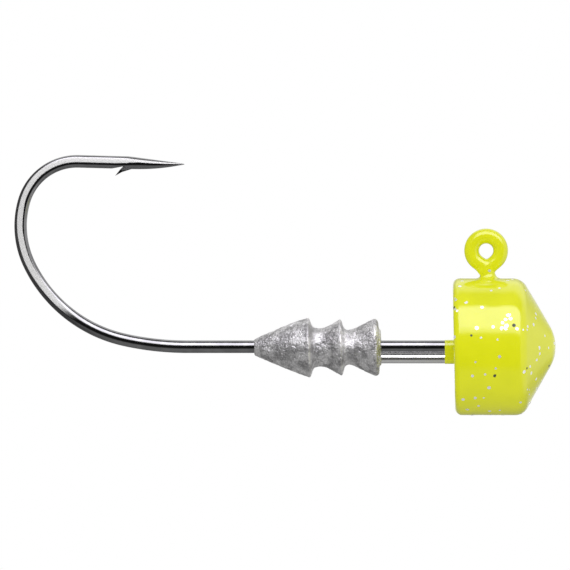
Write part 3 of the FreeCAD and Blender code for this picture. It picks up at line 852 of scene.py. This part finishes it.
foil = Finish("silver_foil")
crinkle = foil.place.noise(5000, 2, 0.5)
foil.set(
    Base_Color=crinkle.above(0.3, 0.7).between((0.86, 0.86, 0.87, 1), (0.97, 0.97, 0.97, 1)),
    Metallic=0.5,
    Roughness=0.28 + crinkle * 0.15,
    Normal=crinkle.dents(0.006 * MM))
dark_foil = Finish("dark_foil")
crease = dark_foil.place.noise(5000, 2, 0.5)
dark_foil.set(
    Base_Color=crease.above(0.3, 0.7).between((0.02, 0.03, 0.02, 1), (0.10, 0.12, 0.08, 1)),
    Metallic=0.4,
    Roughness=0.35 + crease * 0.15,
    Normal=crease.dents(0.006 * MM))
for shape, name, finish, slot in (
        (silver_shape, "silver_flakes_loose", foil, "silver_glitter"),
        (dark_shape, "dark_flakes_loose", dark_foil, "dark_glitter")):
    flakes = finish_mesh(shape, name, sharp=30)
    finish.put_on(flakes)
    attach(flakes, "root")
    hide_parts(slot.replace("glitter", "flakes"))

# ---------------------------------------------------------------- studio
# A plain white floor and backdrop, which only the camera sees. A tent of white
# cloth, lit in bands, is what the metal and the gloss reflect; it can't be seen.

FRAME_MIDDLE = Vector((-13.28 * MM, 0, 4.86 * MM))
FRAME_WIDTH = 44.86 * MM
LENS = 500
SENSOR = 36
CLIP = (0.2, 20)
SQUARE_TO = 0.3 * MM
reach = FRAME_WIDTH * LENS / SENSOR
camera = bpy.data.objects.new("camera", bpy.data.cameras.new("camera"))
bpy.context.collection.objects.link(camera)
camera.data.lens = LENS
camera.data.sensor_width = SENSOR
camera.data.clip_start = reach * CLIP[0]
camera.data.clip_end = reach * CLIP[1]
# The camera stands square to the head's flat back, so that the back doesn't show.
camera.location = (SQUARE_TO, -reach, FRAME_MIDDLE.z)
aim = FRAME_MIDDLE - camera.location
camera.rotation_euler = aim.to_track_quat("-Z", "Y").to_euler()
bpy.context.scene.camera = camera

FLOOR_HALF = 3
FLOOR_GAP = 0.1 * MM
BACKDROP_RADIUS = 1.5
TENT_RADIUS = 3.5
WHITE = (1, 1, 1, 1)


def set_up(name, shape, cloth, glow, strength=1.0):
    """A glowing part of the studio, which at first neither lights the object nor shows in it."""
    mesh = bpy.data.meshes.new(name)
    shape.to_mesh(mesh)
    shape.free()
    paper = bpy.data.objects.new(name, mesh)
    bpy.context.collection.objects.link(paper)
    cloth.set(Base_Color=(0, 0, 0, 1), Roughness=1.0, Specular_IOR_Level=0.0,
              Emission_Color=glow, Emission_Strength=strength)
    cloth.put_on(paper)
    paper.visible_diffuse = False
    paper.visible_glossy = False
    paper.visible_shadow = False
    return paper


def globe(radius):
    """A round shell seen from its inside."""
    shape = bmesh.new()
    bmesh.ops.create_icosphere(shape, subdivisions=3, radius=radius)
    bmesh.ops.reverse_faces(shape, faces=shape.faces)
    return shape


floor_shape = bmesh.new()
bmesh.ops.create_grid(floor_shape, x_segments=1, y_segments=1, size=FLOOR_HALF,
                      matrix=Matrix.Translation((0, 0, cad_low.z - FLOOR_GAP)))
set_up("floor", floor_shape, Finish("floor"), WHITE)
set_up("backdrop", globe(BACKDROP_RADIUS), Finish("backdrop"), WHITE)

# Brightness of the tent by the angle round the X axis: 0 is at the lens, 90 is overhead.
TENT_PEAK = 6.0
TENT_BANDS = (
    (-180, 0.95), (-172, 0.7), (-164, 0.3), (-150, 0.22), (-125, 0.3), (-90, 0.38), (-60, 0.40),
    (-42, 0.36), (-31, 0.07), (-24, 0.02), (17, 0.02), (22, 0.3), (26, 2.2), (34, 3.4), (44, 4.1),
    (64, 4.1), (71, 3.1), (76, 0.2), (100, 0.15), (112, 1.1), (140, 1.2), (160, 0.4), (171, 0.7),
    (180, 0.95),
)
BOX_COLOUR = (0.68, 0.66, 0.72, 1)
RIGHT_END = (0.8 / TENT_PEAK,) * 3 + (1,)
LEFT_END = (0.15 / TENT_PEAK,) * 3 + (1,)

cloth = Finish("tent_cloth")
toward = cloth.place.node("ShaderNodeVectorMath", {"operation": "NORMALIZE"}, {0: cloth.place})
forward = 0 - toward.axis(1)
angle = forward.maths("ARCTAN2", toward.axis(2), forward) * (0.5 / math.pi) + 0.5
bands = angle.node("ShaderNodeValToRGB", {
    "stops": [(0.5 + degrees / 360, level / TENT_PEAK) for degrees, level in TENT_BANDS]},
    {0: angle})
bands = bands.above(0.45, 0.65).between(bands, BOX_COLOUR)
right_end = toward.axis(0).above(0.62, 0.82)
left_end = (0 - toward.axis(0)).above(0.3, 0.6)
glow = left_end.between(right_end.between(bands, RIGHT_END), LEFT_END)
tent = set_up("light_tent", globe(TENT_RADIUS), cloth, glow, TENT_PEAK)
tent.visible_camera = False
tent.visible_glossy = True

# An even fill, a little stronger from above and from the camera's side, lights the matt colours.
world = bpy.data.worlds.new("even_glow")
world.use_nodes = True
bpy.context.scene.world = world
background = world.node_tree.nodes["Background"]
here = world.node_tree.nodes.new("ShaderNodeTexCoord")
sky = Field(world.node_tree, here.outputs["Generated"])
fill = sky.axis(2) * 0.21 - sky.axis(1) * 0.28 + 0.82
world.node_tree.links.new(fill.socket, background.inputs["Strength"])
background.inputs["Color"].default_value = WHITE
world.cycles_visibility.glossy = False
bpy.context.scene.view_settings.view_transform = "Standard"
